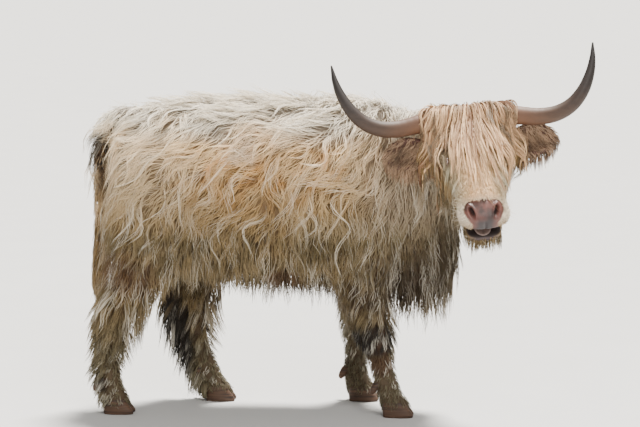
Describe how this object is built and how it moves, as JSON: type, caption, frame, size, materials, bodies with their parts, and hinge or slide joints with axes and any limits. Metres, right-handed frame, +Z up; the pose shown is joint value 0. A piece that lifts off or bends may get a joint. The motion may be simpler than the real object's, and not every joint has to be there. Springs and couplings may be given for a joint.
{
  "type": "highland cow",
  "caption": "Life-size still model of a long-haired highland cow, standing with its head turned to its right, wide curved horns and a forelock over its eyes.",
  "frame": {"origin": "on the floor under the middle of the whole figure's box", "axes": "+Z up, +X from the rump towards the chest, +Y towards the cow's left side"},
  "size_m": [1.8448, 0.8734, 1.355],
  "materials": {
    "coat_body": "long cream to tan-gold hair, dusty and tangled",
    "coat_neck": "long greyish-cream hair",
    "coat_head": "short cream hair under a long peach-cream forelock",
    "coat_ear": "soft brown hair with a pale rim",
    "coat_leg": "short rough grey-cream hair, soiled dark in patches",
    "coat_tail": "long hair, soiled dark at the tip",
    "bare_skin": "moist pink-grey skin",
    "horn": "smooth keratin, pinkish tan to black tips",
    "eye": "wet dark brown",
    "claw": "dry brown keratin"
  },
  "bodies": {
    "root": {"torso": "coat_body", "neck": "coat_neck", "head": "coat_head", "tail": "coat_tail", "tongue": "bare_skin", "ear_right": "coat_ear", "ear_left": "coat_ear", "horn_right": "horn", "horn_left": "horn", "eye_right": "eye", "eye_left": "eye", "foreleg_right": "coat_leg", "foreleg_left": "coat_leg", "hindleg_right": "coat_leg", "hindleg_left": "coat_leg", "foreclaw_right_outer": "claw", "foreclaw_right_inner": "claw", "foreclaw_left_outer": "claw", "foreclaw_left_inner": "claw", "hindclaw_right_outer": "claw", "hindclaw_right_inner": "claw", "hindclaw_left_outer": "claw", "hindclaw_left_inner": "claw"}
  },
  "joints": []
}
